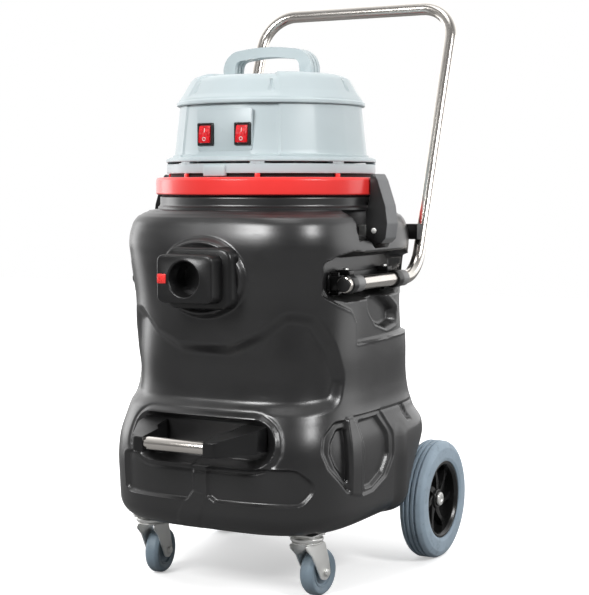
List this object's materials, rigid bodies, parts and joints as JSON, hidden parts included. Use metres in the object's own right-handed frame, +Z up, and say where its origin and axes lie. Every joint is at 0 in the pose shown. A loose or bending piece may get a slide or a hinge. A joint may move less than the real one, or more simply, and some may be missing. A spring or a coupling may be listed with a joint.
{
  "type": "shop vacuum",
  "caption": "Wheeled wet and dry shop vacuum: moulded tank on castors and rear wheels, latched motor head, push handle, front tipping bar and hose inlet.",
  "frame": {"origin": "centre of the machine's outline in plan, at the height of the floor it stands on", "axes": "+Z up; the hose inlet faces -Y; +X is the right side seen from the front-right, as left and right mirror each other"},
  "size_m": [0.459, 0.6352, 0.971],
  "materials": {
    "tank_black": "satin charcoal black polyethylene",
    "trim_black": "fine matt black",
    "trim_grey": "dark grey, fine matt",
    "hub_black": "semi gloss black nylon",
    "head_grey": "light blue-grey, fine satin",
    "signal_red": "satin red",
    "rocker_red": "clear red",
    "polished_tube": "polished steel tube",
    "zinc": "bright zinc plate",
    "aluminium": "plain",
    "tyre_grey": "non-marking blue-grey rubber",
    "rubber": "matt",
    "foam": "open-cell foam",
    "cloth_white": "needle felt",
    "float_white": "plain"
  },
  "bodies": {
    "trolley": {"tank": "tank_black", "tank_seal": "rubber", "inlet_base": "tank_black", "inlet_block": "tank_black", "inlet_tube": "tank_black", "push_handle": "polished_tube", "tip_handle_bar": "polished_tube", "rear_axle": "zinc", "grip_cap_left": "trim_black", "clamp_front_left": "trim_black", "clamp_rear_left": "trim_black", "brace_left": "trim_black", "tip_handle_arm_left": "trim_black", "latch_pin_left": "zinc", "latch_bracket_left": "zinc", "castor_plate_left": "zinc", "grip_cap_right": "trim_black", "clamp_front_right": "trim_black", "clamp_rear_right": "trim_black", "brace_right": "trim_black", "tip_handle_arm_right": "trim_black", "latch_pin_right": "zinc", "latch_bracket_right": "zinc", "castor_plate_right": "zinc"},
    "head": {"filter_ring": "signal_red", "filter_bag": "cloth_white", "float_cage": "trim_grey", "motor_plate": "head_grey", "exhaust_flange": "head_grey", "head_shell": "head_grey", "top_cover": "head_grey", "carry_handle": "head_grey", "sound_foam": "foam", "cable_gland": "trim_black", "switch_panel": "head_grey", "switch_frame_left": "trim_black", "motor_can_left": "trim_grey", "switch_frame_right": "trim_black", "motor_can_right": "trim_grey"},
    "float": {"float_ball": "float_white"},
    "button": {"release_button": "signal_red"},
    "latch_left": {"latch_lever_left": "trim_grey"},
    "rocker_left": {"switch_rocker_left": "rocker_red"},
    "fan_left": {"motor_fan_left": "aluminium"},
    "castor_left": {"castor_fork_left": "zinc", "castor_axle_left": "zinc"},
    "castor_wheel_left": {"castor_wheel_left": "tyre_grey"},
    "rear_wheel_left": {"rear_hub_left": "hub_black", "rear_tyre_left": "tyre_grey", "axle_cap_left": "zinc"},
    "latch_right": {"latch_lever_right": "trim_grey"},
    "rocker_right": {"switch_rocker_right": "rocker_red"},
    "fan_right": {"motor_fan_right": "aluminium"},
    "castor_right": {"castor_fork_right": "zinc", "castor_axle_right": "zinc"},
    "castor_wheel_right": {"castor_wheel_right": "tyre_grey"},
    "rear_wheel_right": {"rear_hub_right": "hub_black", "rear_tyre_right": "tyre_grey", "axle_cap_right": "zinc"}
  },
  "joints": [
    {"name": "head_lift", "type": "slide", "parent": "trolley", "child": "head", "axis": [0, 0, 1], "range_m": [0, 0.26]},
    {"name": "float_rise", "type": "slide", "parent": "head", "child": "float", "axis": [0, 0, 1], "range_m": [0, 0.03]},
    {"name": "button_press", "type": "slide", "parent": "trolley", "child": "button", "axis": [0, 1, 0], "range_m": [0, 0.004], "stiffness_N_per_m": 400},
    {"name": "latch_left_open", "type": "hinge", "parent": "trolley", "child": "latch_left", "pos_m": [-0.1995, -0.015, 0.573], "axis": [0, -1, 0], "range_deg": [0, 70]},
    {"name": "rocker_left_tilt", "type": "hinge", "parent": "head", "child": "rocker_left", "pos_m": [-0.034, -0.1651, 0.7255], "axis": [-1, 0, 0], "range_deg": [-14, 0]},
    {"name": "fan_left_spin", "type": "hinge", "parent": "head", "child": "fan_left", "pos_m": [-0.07, -0.015, 0.7], "axis": [0, 0, 1], "continuous": true},
    {"name": "castor_left_swivel", "type": "hinge", "parent": "trolley", "child": "castor_left", "pos_m": [-0.1455, -0.159, 0.09], "axis": [0, 0, 1], "continuous": true},
    {"name": "castor_left_roll", "type": "hinge", "parent": "castor_left", "child": "castor_wheel_left", "pos_m": [-0.14981, -0.1283, 0.0375], "axis": [0.9903, 0.1392, 0], "continuous": true},
    {"name": "rear_wheel_left_roll", "type": "hinge", "parent": "trolley", "child": "rear_wheel_left", "pos_m": [-0.207, 0.19, 0.1015], "axis": [1, 0, 0], "continuous": true},
    {"name": "latch_right_open", "type": "hinge", "parent": "trolley", "child": "latch_right", "pos_m": [0.1995, -0.015, 0.573], "axis": [0, 1, 0], "range_deg": [0, 70]},
    {"name": "rocker_right_tilt", "type": "hinge", "parent": "head", "child": "rocker_right", "pos_m": [0.034, -0.1651, 0.7255], "axis": [-1, 0, 0], "range_deg": [-14, 0]},
    {"name": "fan_right_spin", "type": "hinge", "parent": "head", "child": "fan_right", "pos_m": [0.07, -0.015, 0.7], "axis": [0, 0, 1], "continuous": true},
    {"name": "castor_right_swivel", "type": "hinge", "parent": "trolley", "child": "castor_right", "pos_m": [0.1455, -0.159, 0.09], "axis": [0, 0, 1], "continuous": true},
    {"name": "castor_right_roll", "type": "hinge", "parent": "castor_right", "child": "castor_wheel_right", "pos_m": [0.14874, -0.12817, 0.0375], "axis": [0.9945, -0.1045, 0], "continuous": true},
    {"name": "rear_wheel_right_roll", "type": "hinge", "parent": "trolley", "child": "rear_wheel_right", "pos_m": [0.207, 0.19, 0.1015], "axis": [1, 0, 0], "continuous": true}
  ]
}
